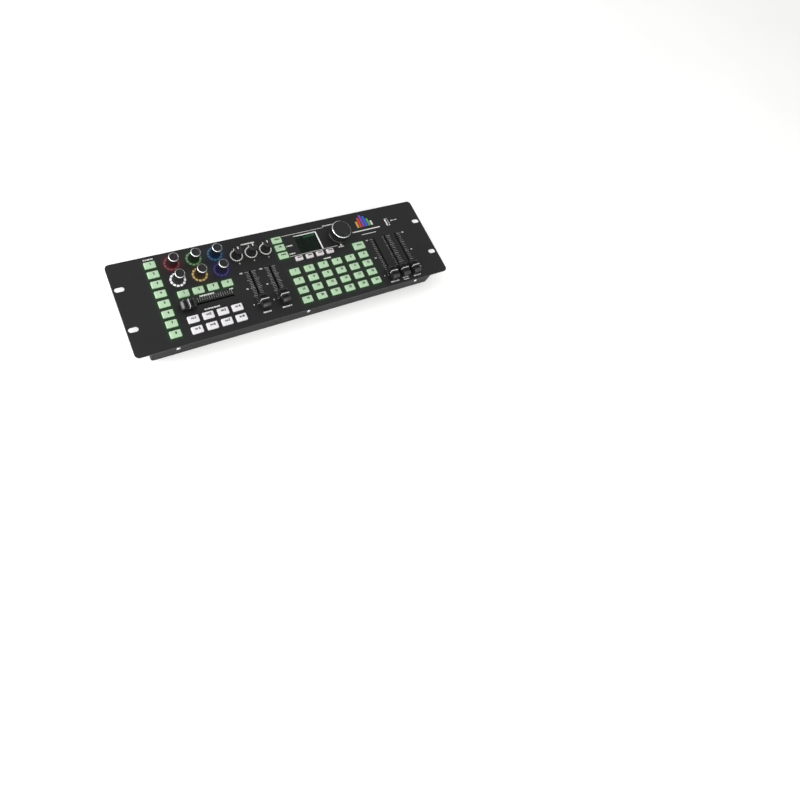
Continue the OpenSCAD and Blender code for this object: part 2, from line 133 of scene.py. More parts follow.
class Finish(Bench):
    """One material. Values that are the same all over sit on the shader; the rest are led to it."""

    def __init__(self, name, colour, **steady):
        self.material = bpy.data.materials.new(name)
        self.material.use_nodes = True
        self.tree = self.material.node_tree
        self.shader = next(n for n in self.tree.nodes if n.type == "BSDF_PRINCIPLED")
        self.shader.inputs["Base Color"].default_value = paint(colour)
        for socket, value in steady.items():
            self.shader.inputs[socket.replace("_", " ")].default_value = value
        self.place = self.node("ShaderNodeTexCoord", output="Object")

    def lead(self, socket, field):
        join(self.tree, self.shader.inputs[socket], field)

    def axes(self):
        """X, Y and Z on the desk in millimetres."""
        split = self.node("ShaderNodeSeparateXYZ", sockets={0: self.place})
        outputs = split.socket.node.outputs
        return [Field(self.tree, outputs[i]) * 1000 for i in range(3)]

    def noise(self, grain, detail=3.0):
        """Noise from 0 to 1 whose patches are about as wide as grain, in millimetres."""
        return self.node("ShaderNodeTexNoise", sockets={
            "Vector": self.place, "Scale": 1000 / grain, "Detail": detail, "Roughness": 0.55})

    def fade(self, value, low, high):
        """0 below low, 1 above high, smooth between."""
        return self.node("ShaderNodeMapRange", {"interpolation_type": "SMOOTHSTEP"}, {
            "Value": value, "From Min": low, "From Max": high})

    def mixed(self, share, first, second, blend="MIX"):
        """The first colour where share is 0, the second where it is 1."""
        return self.node("ShaderNodeMix", {"data_type": "RGBA", "blend_type": blend},
                         {0: share, 6: first, 7: second}, output=2)

    def relief(self, height, deep):
        """A bump whose highest point stands deep millimetres over its lowest."""
        self.lead("Normal", self.node("ShaderNodeBump", sockets={
            "Height": height, "Distance": deep * MM, "Strength": 1.0}))


def spot(node):
    """The middle of a CAD node's top, in millimetres."""
    low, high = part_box(node)
    return [(low.x + high.x) / 2 / MM, (low.y + high.y) / 2 / MM, high.z / MM]


def coated(name, finish):
    """An empty mesh that carries a finish."""
    mesh = bpy.data.meshes.new(name)
    mesh.materials.append(finish.material)
    return mesh


def welded(node):
    """The CAD node's loose triangles, joined into one skin."""
    skin = bmesh.new()
    skin.from_mesh(frame["nodes"][node].data)
    bmesh.ops.remove_doubles(skin, verts=skin.verts, dist=1e-6)
    return skin


def fitted(name, mesh, body, slot, *nodes):
    """A finished piece on its body, in place of the CAD nodes named. The slot is not used."""
    piece = bpy.data.objects.new(name, mesh)
    mesh.name = name
    bpy.context.scene.collection.objects.link(piece)
    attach(piece, body)
    if nodes:
        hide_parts(*nodes)
    return piece


def outlines(skin, faces):
    """The closed outlines of a flat group of faces; the sheet lies to the left of each."""
    group = set(faces)
    after = {}
    for face in faces:
        for corner in face.loops:
            if not any(other in group for other in corner.edge.link_faces if other != face):
                after[corner.vert] = corner.link_loop_next.vert
    found = []
    while after:
        vert, follower = after.popitem()
        loop = [vert]
        while follower != loop[0]:
            loop.append(follower)
            follower = after.pop(follower)
        found.append([point.co.copy() for point in loop])
    return found


def punched_sheet(node, finish, edge, steps=3):
    """A flat CAD node with all its holes as one clean sheet, its edges rounded by edge metres."""
    skin = welded(node)
    low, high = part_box(node)
    loops = outlines(skin, [face for face in skin.faces
                            if face.normal.z > 0.99 and face.calc_center_median().z > high.z - 1e-5])
    skin.free()
    turns = [math.pi / 2 * step / steps for step in range(steps + 1)]
    levels = [(edge * (1 - math.cos(turn)), low.z + edge * (1 - math.sin(turn)), -turn)
              for turn in turns[::-1]]
    levels += [(edge * (1 - math.cos(turn)), high.z - edge * (1 - math.sin(turn)), turn)
               for turn in turns]
    points, normals, faces, rim, rim_edges, owner = [], [], [], [], [], []
    for number, loop in enumerate(loops):
        size = len(loop)
        start = len(points)
        inward = []
        for i, point in enumerate(loop):
            before = (point - loop[i - 1]).to_2d().normalized()
            behind = (loop[(i + 1) % size] - point).to_2d().normalized()
            first, second = Vector((-before.y, before.x)), Vector((-behind.y, behind.x))
            inward.append((first + second) / (1 + first.dot(second)))
        for inset, rise, turn in levels:
            for point, way in zip(loop, inward):
                points.append((point.x + way.x * inset, point.y + way.y * inset, rise))
                out = -way.normalized() * math.cos(turn)
                normals.append((out.x, out.y, math.sin(turn)))
        for level in range(len(levels) - 1):
            for i in range(size):
                j = (i + 1) % size
                a, b = start + level * size, start + (level + 1) * size
                faces.append((a + i, a + j, b + j, b + i))
        top = start + (len(levels) - 1) * size
        first_rim = len(rim)
        owner += [number] * size
        rim += [(top + i, start + i) for i in range(size)]
        rim_edges += [(first_rim + i, first_rim + (i + 1) % size) for i in range(size)]
    flat = [Vector(points[top][:2]) for top, foot in rim]
    found = delaunay_2d_cdt(flat, rim_edges, [], 1, 1e-9)
    named = [origin[0] for origin in found[3]]
    for triangle in found[2]:
        a, b, c = [named[i] for i in triangle]
        # a triangle on one outline that runs against it fills a hole
        if owner[a] == owner[b] == owner[c] and (a > b) + (b > c) + (c > a) == 2:
            continue
        faces.append([rim[i][0] for i in (a, b, c)])
        faces.append([rim[i][1] for i in (c, b, a)])
    mesh = coated(node, finish)
    mesh.from_pydata(points, [], faces)
    for face in mesh.polygons:
        face.use_smooth = True
    mesh.normals_split_custom_set_from_vertices(normals)
    return mesh


PANEL_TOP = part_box("front_panel")[1].z / MM
EDGE_R = 0.3
# the lip under the panel that keeps a key in
KEY_LIP = 0.7
# the colour of each knob's collar, and how strongly the painted glow of its light colours the coat round
# the collar
COLOURS = {"red": "e0122a", "green": "32c832", "blue": "1488e8", "white": "ffffff",
           "amber": "f0b428", "violet": "5a3ce0"}
GLOW_SHARE = {"red": 0.26, "green": 0.13, "blue": 0.2, "white": 0.02, "amber": 0.12, "violet": 0.2}
COLLAR_R = 10.45


def near(value, first, pitch, count):
    """How far a place is from the nearest of a row of centres."""
    if count == 1:
        return value - first
    step = ((value - first) / pitch).rounded().at_least(0).at_most(count - 1)
    return value - first - step * pitch


def gap_to_keys(x, y, first, pitch, counts, size):
    """Distance in millimetres to the nearest key of a block."""
    across = (abs(near(x, first[0], pitch[0], counts[0])) - size[0] / 2).at_least(0)
    along = (abs(near(y, first[1], pitch[1], counts[1])) - size[1] / 2).at_least(0)
    return (across * across + along * along) ** 0.5


def key_size(node):
    """Width and depth of a key's cap without its lip."""
    low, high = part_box(node)
    return ((high.x - low.x) / MM - 2 * KEY_LIP, (high.y - low.y) / MM - 2 * KEY_LIP)


KEY_SIZE = key_size("fixture_key_1")


def row_spots(node, count):
    """Centres of the keys in a row that is one CAD node."""
    low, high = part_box(node)
    first = low.x / MM + KEY_LIP + KEY_SIZE[0] / 2
    last = high.x / MM - KEY_LIP - KEY_SIZE[0] / 2
    middle = spot(node)
    return [(first + (last - first) * i / (count - 1), middle[1]) for i in range(count)]


powder_coat = Finish("powder_coat", "141415", Specular_IOR_Level=0.24, Emission_Strength=0.22)
x, y, z = powder_coat.axes()
preset = row_spots("preset_keys_row_1", 6)
preset_pitch = (preset[1][0] - preset[0][0], spot("preset_keys_row_2")[1] - preset[0][1])
fixture, group, menu = spot("fixture_key_1"), spot("group_key_1"), spot("menu_key_1")
key_gaps = [
    gap_to_keys(x, y, fixture, (1, spot("fixture_key_2")[1] - fixture[1]), (1, 8), KEY_SIZE),
    gap_to_keys(x, y, group, (spot("group_key_2")[0] - group[0], 1), (4, 1), KEY_SIZE),
    gap_to_keys(x, y, menu, (1, spot("menu_key_2")[1] - menu[1]), (1, 3), KEY_SIZE),
    gap_to_keys(x, y, preset[0], preset_pitch, (6, 4), KEY_SIZE),
    gap_to_keys(x, y, spot("store_key"), (1, 1), (1, 1), key_size("store_key")),
]
nearest_key = key_gaps[0]
for gap in key_gaps[1:]:
    nearest_key = nearest_key.at_most(gap)
# Painted light: the coat's emission glows green round each key and fades with distance from it, standing in
# for the lit keys' light falling on the coat; only its top face glows.
face_up = powder_coat.fade(z, PANEL_TOP - 0.5, PANEL_TOP - 0.1)
light = powder_coat.mixed(0.4 ** (nearest_key / 1.5) * face_up, paint("000000"), paint("2f7a26"))


def collar_glow(finish, x, y, mask, light):
    """Paints the light that each lit collar throws on what is round it, as a glow in the emission colour.
    """
    for word, colour in COLOURS.items():
        knob = spot(word + "_knob")
        away = ((x - knob[0]) * (x - knob[0]) + (y - knob[1]) * (y - knob[1])) ** 0.5
        ring = 0.5 ** ((away - COLLAR_R).at_least(0) / 2.2) * mask * GLOW_SHARE[word]
        light = finish.mixed(ring, light, paint(colour), "ADD")
    finish.lead("Emission Color", light)


# painted light: the glow of each lit collar on the coat round it, added to the painted glow round the keys
collar_glow(powder_coat, x, y, face_up, light)
mottle = powder_coat.noise(38, 4)
peel = powder_coat.noise(0.7, 2)
handled = powder_coat.fade(powder_coat.noise(22, 5), 0.5, 0.72)
powder_coat.lead("Base Color", powder_coat.mixed(mottle, paint("121213"), paint("1b1b1c")))
powder_coat.lead("Roughness", 0.4 + 0.12 * peel + 0.07 * handled)
powder_coat.relief(peel, 0.045)
fitted("front_panel_sheet", punched_sheet("front_panel", powder_coat, EDGE_R * MM), "desk",
       "panel_black", "front_panel")

# ---- Print on the panel ----
# Screen-printed scales, numbers, label bars and the rings round the small knobs, in off-white ink.
# The ink lies a hundredth of a millimetre or two thick on the coat.
import random


def plain_mesh(holder):
    """What the object shows, as a plain mesh. The object itself is taken away."""
    bpy.context.scene.collection.objects.link(holder)
    graph = bpy.context.evaluated_depsgraph_get()
    made = bpy.data.meshes.new_from_object(holder.evaluated_get(graph), depsgraph=graph)
    bpy.data.objects.remove(holder)
    return made


class Recipe(Bench):
    """A Geometry Nodes tree with named inputs, and the plain meshes that it makes."""

    def __init__(self, name, **inputs):
        self.tree = bpy.data.node_groups.new(name, "GeometryNodeTree")
        for key, (kind, value) in inputs.items():
            socket = self.tree.interface.new_socket(
                name=key, in_out="INPUT", socket_type="NodeSocket" + kind)
            socket.default_value = value
        self.tree.interface.new_socket(name="Finish", in_out="INPUT", socket_type="NodeSocketMaterial")
        self.tree.interface.new_socket(
            name="Geometry", in_out="OUTPUT", socket_type="NodeSocketGeometry")
        self.source = self.tree.nodes.new("NodeGroupInput")

    def given(self, name):
        return Field(self.tree, self.source.outputs[name])

    def end(self, geometry):
        real = self.node("GeometryNodeRealizeInstances", sockets={0: geometry})
        coated = self.node("GeometryNodeSetMaterial", sockets={0: real, "Material": self.given("Finish")})
        last = self.tree.nodes.new("NodeGroupOutput")
        self.tree.links.new(coated.socket, last.inputs[0])

    def mesh(self, **values):
        holder = bpy.data.objects.new("holder", bpy.data.meshes.new("holder"))
        modifier = holder.modifiers.new("recipe", "NODES")
        modifier.node_group = self.tree
        for item in self.tree.interface.items_tree:
            if item.in_out == "INPUT" and item.name in values:
                modifier[item.identifier] = values[item.name]
        return plain_mesh(holder)


bar_row = Recipe("bar_row", First=("Vector", (0, 0, 0)), Step=("Vector", (1, 0, 0)),
                 Count=("Int", 2), Size=("Vector", (1, 1, 1)))
line = bar_row.node("GeometryNodeMeshLine", {"mode": "OFFSET"}, {
    "Count": bar_row.given("Count"), "Start Location": bar_row.given("First"),
    "Offset": bar_row.given("Step")})
bar = bar_row.node("GeometryNodeMeshCube", sockets={"Size": bar_row.given("Size")})
bar_row.end(bar_row.node("GeometryNodeInstanceOnPoints", sockets={"Points": line, "Instance": bar}))

arc_ring = Recipe("arc_ring", Centre=("Vector", (0, 0, 0)), Radius=("Float", 8.0),
                  Width=("Float", 1.6), Height=("Float", 0.03), Corner=("Float", 0.01),
                  Count=("Int", 12), Share=("Float", 0.85), Turn=("Float", 0.0))
pitch = 2 * math.pi / arc_ring.given("Count")
arc = arc_ring.node("GeometryNodeCurveArc", {"mode": "RADIUS"}, {
    "Resolution": 7, "Radius": arc_ring.given("Radius"),
    "Sweep Angle": pitch * arc_ring.given("Share")})
section = arc_ring.node("GeometryNodeCurvePrimitiveQuadrilateral", {"mode": "RECTANGLE"}, {
    "Width": arc_ring.given("Width"), "Height": arc_ring.given("Height")})
section = arc_ring.node("GeometryNodeFilletCurve", {"mode": "POLY"}, {
    "Curve": section, "Radius": arc_ring.given("Corner"), "Count": 2})
block = arc_ring.node("GeometryNodeCurveToMesh", sockets={
    "Curve": arc, "Profile Curve": section, "Fill Caps": True})
turned = arc_ring.node("GeometryNodeInputIndex") * pitch + arc_ring.given("Turn")
places = arc_ring.node("GeometryNodePoints", sockets={
    "Count": arc_ring.given("Count"), "Position": arc_ring.given("Centre")})
arc_ring.end(arc_ring.node("GeometryNodeInstanceOnPoints", sockets={
    "Points": places, "Instance": block,
    "Rotation": arc_ring.node("ShaderNodeCombineXYZ", sockets={2: turned})}))


class Work:
    """A mesh in the making, in millimetres, and its finish."""

    def __init__(self, finish):
        self.finish = finish
        self.skin = bmesh.new()

    def add(self, mesh, matrix=None):
        if matrix:
            mesh.transform(matrix)
        self.skin.from_mesh(mesh)
        bpy.data.meshes.remove(mesh)

    def bars(self, first, size, step=(0, 0, 0), count=1):
        self.add(bar_row.mesh(First=first, Size=size, Step=step, Count=count,
                              Finish=self.finish.material))

    def arcs(self, **sizes):
        self.add(arc_ring.mesh(Finish=self.finish.material, **sizes))

    def text(self, words, at, tall, bold=0.03):
        """Numbers cut from thin foil, tall millimetres high."""
        curve = bpy.data.curves.new("figures", "FONT")
        curve.body = words
        curve.size = tall / 0.7
        curve.extrude = 0.015
        curve.offset = bold * tall
        curve.align_x = "CENTER"
        curve.align_y = "CENTER"
        curve.resolution_u = 3
        curve.space_character = 1.05
        mesh = plain_mesh(bpy.data.objects.new("figures", curve))
        bpy.data.curves.remove(curve)
        mesh.materials.clear()
        self.add(mesh, Matrix.Translation(at))
        bmesh.ops.remove_doubles(self.skin, verts=self.skin.verts, dist=1e-4)

    def dashes(self, left, right, y, tall, z, thick=0.03, gap=0.4):
        """A label made of short plain blocks."""
        x = left
        while x < right - 0.6:
            wide = min(lots.choice((0.5, 0.8, 1.1, 1.6)), right - x)
            self.bars((x + wide / 2, y, z), (wide, tall * lots.uniform(0.86, 1), thick))
            x += wide + gap * lots.choice((1, 1, 1.7))

    def mesh(self, name, smooth=False):
        made = coated(name, self.finish)
        bmesh.ops.scale(self.skin, vec=(MM, MM, MM), verts=self.skin.verts)
        self.skin.to_mesh(made)
        self.skin.free()
        if smooth:
            for face in made.polygons:
                face.use_smooth = True
            made.set_sharp_from_angle(angle=math.radians(38))
        return made


def ink_finish(name, colour, wear=0.2):
    """Matt ink, slightly uneven and a little thin in places."""
    ink = Finish(name, colour, Specular_IOR_Level=0.3)
    worn = ink.noise(1.4, 4)
    ink.lead("Base Color", ink.mixed(ink.fade(worn, 0.4, 0.85) * wear, paint(colour), paint("101010")))
    ink.lead("Roughness", 0.5 + 0.2 * worn)
    ink.relief(ink.noise(0.4, 2), 0.004)
    return ink


lots = random.Random(31)
INK_Z = PANEL_TOP + 0.005
INK_T = 0.03
INK_EDGE = 0.005
MAIN_LINE, FINE_LINE = 0.34, 0.24
white_ink = ink_finish("white_ink", "d8d8d4")
scale_ink = ink_finish("scale_ink", "b2b2b0")
print_work, scale_work = Work(white_ink), Work(scale_ink)
# labels made of short blocks: left end, right end, middle line and height
LABELS = [
    (-193.2, -180.2, 61.3, 2.0), (-140.5, -119.5, -7.2, 2.2), (-99, -94, -7.5, 1.8),
    (-141, -119, -27, 2.0), (-59, -39, 53.3, 2.1), (4, 14, 35, 1.9), (4, 13.5, 22, 1.9),
    (73, 91, 54.6, 1.8), (82.5, 91.5, 15, 1.6), (51, 63, 2.4, 1.8), (-67.5, -55.5, -53, 1.9),
    (-39, -25, -53, 1.9), (137.5, 152, -60.5, 1.8), (159.5, 170, -58.8, 1.5),
    (160, 169.5, -62, 1.5), (179, 192, -60.5, 1.8)]
for left, right, middle, tall in LABELS:
    print_work.dashes(left, right, middle, tall, INK_Z)
# scales of the faders, over their whole travel: the lying one, the two left ones, the three right ones
TRAVEL = {joint["child"]: joint["range_m"][1] / MM for joint in frame["joints"]
          if joint["type"] == "slide"}
lying, short, long = spot("lying_fader_cap"), spot("left_fader_cap_1"), spot("right_fader_cap_1")
SHORT, LONG = TRAVEL["left_fader_cap_1"], TRAVEL["right_fader_cap_1"]
LAST_LINE = 20
for i in range(LAST_LINE + 1):
    share = i / LAST_LINE
    main = i % 5 == 0
    line = MAIN_LINE if main else FINE_LINE
    scale_work.bars((lying[0] + TRAVEL["lying_fader_cap"] * share, -11.4, INK_Z),
                    (line, 6.2 if main else 5.2, INK_T))
    for fader in (short[0], spot("left_fader_cap_2")[0]):
        for side in (-1, 1):
            reach = 6.4 if main else 4.8
            scale_work.bars((fader + side * (2.3 + reach / 2), short[1] + SHORT * share, INK_Z),
                            (reach, line, INK_T))
    for left, right in ((137.2, 143), (160, 163.2), (167, 175), (187.3, 193.8)):
        wide = (right - left) * (1 if main else 0.72)
        scale_work.bars(((left + right) / 2, long[1] + LONG * share, INK_Z), (wide, line, INK_T))
STEPS = ((0, "0"), (0.5, "50"), (1, "100"))
for left in (-75.5, -46):
    for share, words in STEPS:
        print_work.text(words, (left, short[1] + SHORT * share, INK_Z), 2.1)
for share, words in STEPS:
    for left in (132, 199):
        print_work.text(words, (left, long[1] + LONG * share, INK_Z), 2.0)
# a ring of short strokes round each rate knob, with its index line and a nought below
for i in (1, 2, 3):
    knob = spot("rate_knob_%d" % i)
    print_work.arcs(Centre=(knob[0], knob[1], INK_Z), Radius=8.2, Width=1.5, Height=INK_T,
                    Corner=INK_EDGE, Count=20, Share=0.8, Turn=0.03)
    print_work.bars((knob[0], knob[1] + 9.6, INK_Z), (1.3, 3.4, INK_T))
    print_work.text("0", (knob[0], 25.6, INK_Z), 1.9)
# two thin lines over and under the display, and a small arrow head at the large knob
for left, right, middle in ((3, 73, 52.5), (3, 82, 18)):
    print_work.bars(((left + right) / 2, middle, INK_Z), (right - left, 0.5, INK_T))
for i in range(5):
    print_work.bars((88, 17.2 + 0.7 * i, INK_Z), (3.6 - 0.8 * i, 0.62, INK_T))
# a plain mark by the USB socket, a line between two squares, and the two rules under the colour bars
for middle, size in (((195, 39), (8, 0.6)), ((190.6, 39), (2, 2)), ((199.6, 39), (1.6, 1.6)),
                     ((141, 33), (50, 1.5)), ((142, 26), (26, 0.8))):
    print_work.bars(middle + (INK_Z,), size + (INK_T,))
print_work.arcs(Centre=(-163, -7.5, INK_Z), Radius=0.6, Width=0.7, Height=INK_T, Corner=INK_EDGE,
                Count=3, Share=1.0)
fitted("panel_print", print_work.mesh("panel_print"), "desk", "panel_black")
fitted("panel_scales", scale_work.mesh("panel_scales"), "desk", "panel_black")

# six plain colour bars of different lengths over the two rules, one for each colour knob
BARS = {"amber": ("c0883a", 11), "red": ("b03a34", 17), "violet": ("6a42a4", 21),
        "blue": ("3458b4", 18), "green": ("4c8a54", 13), "white": ("bcb8bc", 8)}
for i, (word, (colour, tall)) in enumerate(BARS.items()):
    strip = Work(ink_finish(word + "_ink", colour))
    strip.bars((130 + 5 * i, 39 + tall / 2, INK_Z), (3.6, tall, INK_T))
    fitted("panel_bar_" + word, strip.mesh("strip"), "desk", "panel_black")

# ---- Steel case ----
# A tray folded from 1.2 mm steel, coated in the same black but smoother, and the parts inside it.
# Six zinc-plated brackets hold it to the panel with pan-head screws.


def fair_mesh(node, finish):
    """The CAD node's shape with whole flat faces in place of its triangles."""
    skin = welded(node)
    bmesh.ops.dissolve_limit(skin, angle_limit=math.radians(1.5), verts=skin.verts, edges=skin.edges)
    mesh = coated(node, finish)
    skin.to_mesh(mesh)
    skin.free()
    return mesh


def broken_edges(piece, width):
    """Rounds the piece's sharp edges by a small radius in millimetres and evens its shading."""
    for face in piece.data.polygons:
        face.use_smooth = True
    bevel = piece.modifiers.new("edges", "BEVEL")
    bevel.width = width * MM
    bevel.segments = 2
    bevel.limit_method = "ANGLE"
    bevel.angle_limit = math.radians(35)
    bevel.use_clamp_overlap = False
    shading = piece.modifiers.new("shading", "WEIGHTED_NORMAL")
    shading.keep_sharp = True


def fair_copy(name, node, finish, slot, width, body="desk"):
    """The CAD node's own shape with whole faces and broken edges, in place of the node."""
    piece = fitted(name, fair_mesh(node, finish), body, slot, node)
    broken_edges(piece, width)
    return piece


def coat(name, dark, pale, rough, grain, **steady):
    """A painted, moulded or plated surface: mottled colour, uneven gloss and a fine grain."""
    made = Finish(name, dark, **steady)
    patches = made.noise(grain * 24, 4)
    fine = made.noise(grain, 3)
    made.lead("Base Color", made.mixed(patches, paint(dark), paint(pale)))
    made.lead("Roughness", rough + 0.16 * (patches - 0.5) + 0.1 * (fine - 0.5))
    made.relief(fine, grain * 0.03)
    return made


case_coat = coat("case_coat", "0b0b0c", "111112", 0.45, 0.9, Specular_IOR_Level=0.12)
tray = fair_copy("case_tray_shell", "case_tray", case_coat, "case_black", 0.4)
# only the folds at the floor are round; the cut edges of the walls stay sharp
tray.modifiers["edges"].limit_method = "WEIGHT"
tray.modifiers["edges"].segments = 3
tray.data.set_sharp_from_angle(angle=math.radians(35))
folded = tray.data.attributes.new("bevel_weight_edge", "FLOAT", "EDGE")
floor_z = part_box("case_tray")[0].z
for edge in tray.data.edges:
    if all(tray.data.vertices[i].co.z < floor_z + 1e-5 for i in edge.vertices):
        folded.data[edge.index].value = 1.0
        edge.use_edge_sharp = False


def dressed(node, finish):
    """A CAD node that stays as it is and gets its finish."""
    part = frame["nodes"][node]
    part.data.materials.clear()
    part.data.materials.append(finish.material)


zinc = coat("zinc_plate", "9c9fa3", "b9bcc0", 0.34, 0.5, Metallic=1.0)
dressed("panel_brackets", zinc)
rubber = coat("foot_rubber", "151515", "1f1f1f", 0.75, 0.35, Specular_IOR_Level=0.3)
fair_copy("rubber_feet_moulded", "rubber_feet", rubber, "foot_rubber", 0.4)
steel = coat("bright_steel", "b8babd", "d6d8da", 0.22, 0.25, Metallic=1.0)
fair_copy("case_screws_plated", "case_screws", steel, "screw_steel", 0.07)

# ---- Circuit board and what stands on it ----
# A green glass-fibre board hangs from the panel on brass posts. Push switches, encoders in steel cans
# and the long bodies of the faders are soldered to it.
laminate = Finish("board_laminate", "0f4a2c", Coat_Weight=0.35, Coat_Roughness=0.2)
across = laminate.axes()[0] + 4 * laminate.noise(14)
wave = laminate.node("ShaderNodeMath", {"operation": "PINGPONG"}, {0: across, 1: 1.6})
tracks = laminate.fade(wave, 1.15, 1.3)
laminate.lead("Base Color", laminate.mixed(tracks, paint("0f4a2c"), paint("2a7a48")))
laminate.lead("Roughness", 0.35 + 0.15 * laminate.noise(3))
laminate.relief(tracks, 0.04)
dressed("main_board", laminate)
dressed("board_spacers", coat("spacer_brass", "a98a45", "c8aa62", 0.3, 0.4, Metallic=1.0))
switch_plastic = coat("switch_plastic", "1c1c1e", "29292b", 0.5, 0.3)
dressed("key_switches", switch_plastic)
can_steel = coat("control_can", "8e9092", "a9abae", 0.32, 0.35, Metallic=1.0)
dressed("rotary_bodies", can_steel)
# the fader cans are coloured near black: the shade inside the slots is painted into them, so the slots show
# dark
dressed("fader_tracks", coat("fader_can", "0c0c0d", "161618", 0.55, 0.5, Metallic=0.3))

# ---- Keys ----
# Translucent caps moulded with a lip that holds them under the panel and a stem on their switch.
# Most are of pale green resin lit from below, the rest white or blush; all have dark printed figures.
STEM_FOOT, CAP_TOP = [corner.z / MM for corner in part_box("fixture_key_1")]
LIP = (30.5, 31.6)
STEM_R = 1.62
CORNER = 1.0
EDGE = 0.75
CROWN = 0.14


def rounded_ring(width, depth, radius, z, at, steps=4):
    """Points round a rectangle with round corners, counterclockwise."""
    points = []
    for quarter in range(4):
        mid_x = (width / 2 - radius) * (1 if quarter in (0, 3) else -1)
        mid_y = (depth / 2 - radius) * (1 if quarter in (0, 1) else -1)
        for step in range(steps + 1):
            turn = math.pi / 2 * (quarter + step / steps)
            points.append((at[0] + mid_x + radius * math.cos(turn),
                           at[1] + mid_y + radius * math.sin(turn), z))
    return points


def loft(skin, rings, closed=True):
    """One skin through rings of equally many points, given from foot to top."""
    rows = [[skin.verts.new(point) for point in ring] for ring in rings]
    size = len(rows[0])
    faces = []
    for low, high in zip(rows, rows[1:]):
        for i in range(size):
            j = (i + 1) % size
            faces.append(skin.faces.new((low[i], low[j], high[j], high[i])))
    if closed:
        faces.append(skin.faces.new(rows[0][::-1]))
        faces.append(skin.faces.new(rows[-1]))
    return faces


def key_cap(work, at, size):
    """A cap with soft edges and a slightly crowned top, on its lip and stem."""
    wide, deep = size
    rings = [rounded_ring(2 * STEM_R, 2 * STEM_R, STEM_R, STEM_FOOT, at),
             rounded_ring(2 * STEM_R, 2 * STEM_R, STEM_R, LIP[0], at),
             rounded_ring(wide + 2 * KEY_LIP, deep + 2 * KEY_LIP, CORNER, LIP[0], at),
             rounded_ring(wide + 2 * KEY_LIP, deep + 2 * KEY_LIP, CORNER, LIP[1], at),
             rounded_ring(wide, deep, CORNER, LIP[1], at)]
    shoulder = CAP_TOP - CROWN - EDGE
    for step in range(6):
        turn = math.pi / 2 * step / 5
        inset = EDGE * (1 - math.cos(turn))
        rings.append(rounded_ring(wide - 2 * inset, deep - 2 * inset, max(CORNER - inset * 0.6, 0.2),
                                  shoulder + EDGE * math.sin(turn), at))
    half = min(wide, deep) / 2
    for share in (0.35, 0.7, 0.96):
        inset = EDGE + (half - EDGE) * share
        rings.append(rounded_ring(wide - 2 * inset, deep - 2 * inset, 0.05 + 0.35 * (1 - share),
                                  CAP_TOP - CROWN * (1 - share) ** 2, at))
    faces = loft(work.skin, rings)
    layer = work.skin.loops.layers.uv.verify()
    for face in faces:
        for corner in face.loops:
            corner[layer].uv = ((corner.vert.co.x - at[0]) / wide + 0.5,
                                (corner.vert.co.y - at[1]) / deep + 0.5)


def resin(name, pale, deep, edge, power):
    """Resin with the light from below painted in: its colour also glows, painted paler at the rim of the
    top and deeper in the walls, and clouded deeper in patches.
    """
    made = Finish(name, pale, Specular_IOR_Level=0.4, Emission_Strength=power)
    top = made.fade(made.axes()[2], PANEL_TOP - 0.4, CAP_TOP - 0.9)
    cap = made.node("ShaderNodeUVMap", {"uv_map": "UVMap"})
    split = made.node("ShaderNodeSeparateXYZ", sockets={0: cap}).socket.node.outputs
    u, v = Field(made.tree, split[0]), Field(made.tree, split[1])
    rim = abs(u - 0.5).at_least(abs(v - 0.5))
    face = made.mixed(made.fade(rim, 0.34, 0.5), paint(pale), paint(edge))
    face = made.mixed(made.noise(5, 3) * 0.25, face, paint(deep))
    colour = made.mixed(top, paint(deep), face)
    made.lead("Base Color", colour)
    made.lead("Emission Color", colour)
    made.lead("Roughness", 0.36 + 0.14 * made.noise(1.2, 3))
    made.relief(made.noise(0.35, 2), 0.006)
    return made


green_resin = resin("green_resin", "829a7d", "286a2d", "97ad93", 0.29)
white_resin = resin("white_resin", "aeacae", "85828a", "c0bec0", 0.22)
blush_resin = resin("blush_resin", "a29b9e", "82777c", "b5b0b2", 0.2)
key_ink = ink_finish("key_ink", "10241a")
grey_ink = ink_finish("grey_ink", "1c1c1e")
GREEN = green_resin, key_ink, "key_green"
WHITE = white_resin, grey_ink, "key_white"
BLUSH = blush_resin, grey_ink, "key_white"
FIGURE = 3.0


def key_set(name, spots, size, kind, legends):
    """The caps of one CAD node and the figures printed on them."""
    caps, marks, slot = Work(kind[0]), Work(kind[1]), kind[2]
    for at, legend in zip(spots, legends):
        key_cap(caps, at, size)
        wide, figure = legend
        left = at[0] + 0.6 - wide / 2 - (1.2 if figure else 0)
        if wide:
            marks.dashes(left, left + wide, at[1] + 0.9, 2.3, CAP_TOP - 0.03, 0.08, 0.24)
        if figure:
            marks.text(figure, (at[0] + 0.8 + wide / 2, at[1] + 0.9, CAP_TOP - 0.01), FIGURE, 0.09)
    fitted(name + "_cap", caps.mesh(name, True), name, slot, name)
    fitted(name + "_figures", marks.mesh(name), name, slot)


for i in range(1, 9):
    name = "fixture_key_%d" % i
    key_set(name, [spot(name)], KEY_SIZE, GREEN, [(0, str(i))])
for i in range(1, 5):
    name = "group_key_%d" % i
    key_set(name, [spot(name)], KEY_SIZE, GREEN, [(0, str(i))])
    name = "soft_key_%d" % i
    key_set(name, [spot(name)], key_size("soft_key_1"), BLUSH, [(6.4, "")])
for i in range(1, 4):
    name = "menu_key_%d" % i
    key_set(name, [spot(name)], KEY_SIZE, GREEN, [((8.0, 5.0, 8.6)[i - 1], "")])
key_set("store_key", [spot("store_key")], key_size("store_key"), GREEN, [(8.4, "")])
for row in range(4):
    name = "preset_keys_row_%d" % (row + 1)
    key_set(name, row_spots(name, 6), KEY_SIZE, GREEN,
            [(0, str(6 * row + c + 1)) for c in range(6)])
for row, name in enumerate(("effect_keys_rear_row", "effect_keys_front_row")):
    key_set(name, row_spots(name, 4), KEY_SIZE, WHITE,
            [(4.4, str(4 * row + c + 1)) for c in range(4)])

